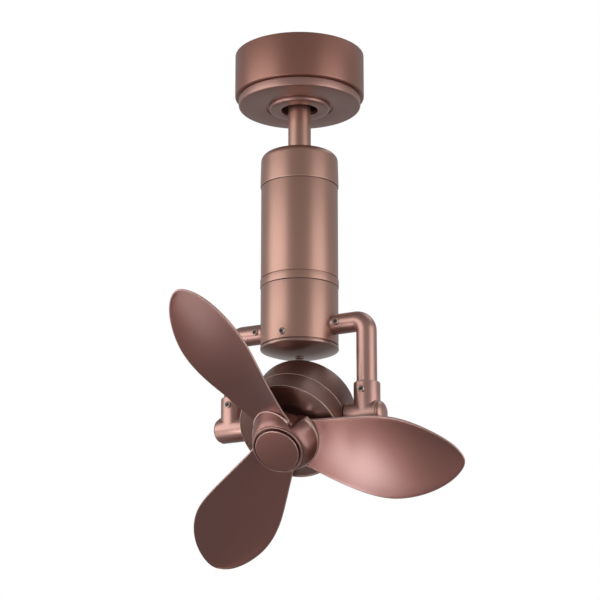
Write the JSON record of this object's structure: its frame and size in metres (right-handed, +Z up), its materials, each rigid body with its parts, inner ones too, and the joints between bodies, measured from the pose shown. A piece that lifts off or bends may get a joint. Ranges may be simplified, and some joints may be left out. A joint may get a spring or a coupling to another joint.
{
  "type": "orbital ceiling fan",
  "caption": "Orbital ceiling fan: a small tilting motor drum with curved blades, carried on a bent-tube fork that turns round below a slim cylindrical body hung on a short downrod.",
  "frame": {"origin": "centre of the ceiling bracket's upper face, in the plane of the ceiling, on the main axis", "axes": "+Z up, along the main axis and out of the ceiling face; +X along the tilt axis and the line of the two ceiling slots; the stored pose has the fan head looking along -Y and down"},
  "size_m": [0.339, 0.2424, 0.5659],
  "materials": {
    "bronze_paint": "satin rose-bronze paint on pressed steel and tube",
    "bronze_casting": "satin rose-bronze paint on die-cast aluminium",
    "bronze_moulding": "satin rose-bronze paint on moulded plastic",
    "zinc_steel": "zinc plated",
    "bearing_steel": "ground",
    "alloy_casting": "as cast",
    "motor_iron": "dull",
    "copper": "enamelled wire",
    "dark_screw": "dark zinc",
    "black_plastic": "matt",
    "white_nylon": "natural"
  },
  "bodies": {
    "ceiling_mount": {"ceiling_bracket": "zinc_steel", "terminal_block": "white_nylon", "wireless_receiver": "black_plastic", "canopy": "bronze_paint", "canopy_screws": "dark_screw", "canopy_cover": "bronze_paint", "canopy_collar": "bronze_moulding"},
    "upper_body": {"hanger_ball": "black_plastic", "ball_pin": "zinc_steel", "downrod": "bronze_paint", "rod_coupling": "alloy_casting", "coupling_pin": "zinc_steel", "upper_cap": "bronze_paint", "fan_driver": "black_plastic", "tie_rods": "zinc_steel", "body_tube": "bronze_paint", "gear_plate": "alloy_casting", "spindle_bearing": "bearing_steel", "slip_ring": "black_plastic", "orbit_gearmotor": "motor_iron", "trim_ring": "bronze_paint"},
    "pinion": {"drive_pinion": "zinc_steel", "gearmotor_shaft": "zinc_steel"},
    "orbit_body": {"orbit_spindle": "zinc_steel", "spindle_nut": "zinc_steel", "orbit_gear": "white_nylon", "orbit_housing": "bronze_paint", "arm_block": "alloy_casting", "bottom_dome": "bronze_paint", "dome_screw": "dark_screw", "housing_screws": "dark_screw", "arm_left": "bronze_paint", "arm_right": "bronze_paint", "arm_screws": "dark_screw", "tee_left": "bronze_casting", "tee_right": "bronze_casting", "tee_screws": "dark_screw", "tee_cap_left": "bronze_casting", "tee_cap_right": "bronze_casting"},
    "fan_head": {"head_shell_rear": "bronze_casting", "head_shell_front": "bronze_casting", "trunnion_left": "bronze_casting", "trunnion_right": "bronze_casting", "friction_washers": "black_plastic", "trunnion_nuts": "zinc_steel", "motor_stator": "motor_iron", "motor_windings": "copper", "motor_front_plate": "bronze_casting", "motor_bearings": "bearing_steel"},
    "rotor": {"motor_rotor": "motor_iron", "motor_shaft": "zinc_steel", "rotor_hub": "bronze_moulding", "blade_1": "bronze_moulding", "blade_2": "bronze_moulding", "blade_3": "bronze_moulding", "hub_nut": "zinc_steel", "hub_cap": "bronze_moulding"}
  },
  "joints": [
    {"name": "hanger_swing", "type": "hinge", "parent": "ceiling_mount", "child": "upper_body", "pos_m": [0, 0, -0.03], "axis": [1, 0, 0], "range_deg": [-6, 6]},
    {"name": "orbit", "type": "hinge", "parent": "upper_body", "child": "orbit_body", "pos_m": [0, 0, -0.3], "axis": [0, 0, 1], "continuous": true},
    {"name": "pinion_spin", "type": "hinge", "parent": "upper_body", "child": "pinion", "pos_m": [0.02765, 0, -0.267], "axis": [0, 0, 1], "continuous": true},
    {"name": "head_tilt", "type": "hinge", "parent": "orbit_body", "child": "fan_head", "pos_m": [0, 0, -0.4243], "axis": [1, 0, 0], "range_deg": [-30, 47.5]},
    {"name": "rotor_spin", "type": "hinge", "parent": "fan_head", "child": "rotor", "pos_m": [0, -0.00311, -0.42091], "axis": [0, -0.7373, -0.6756], "continuous": true}
  ],
  "couplings": [
    {"joint": "pinion_spin", "follows": "orbit", "ratio": -2.6667}
  ]
}
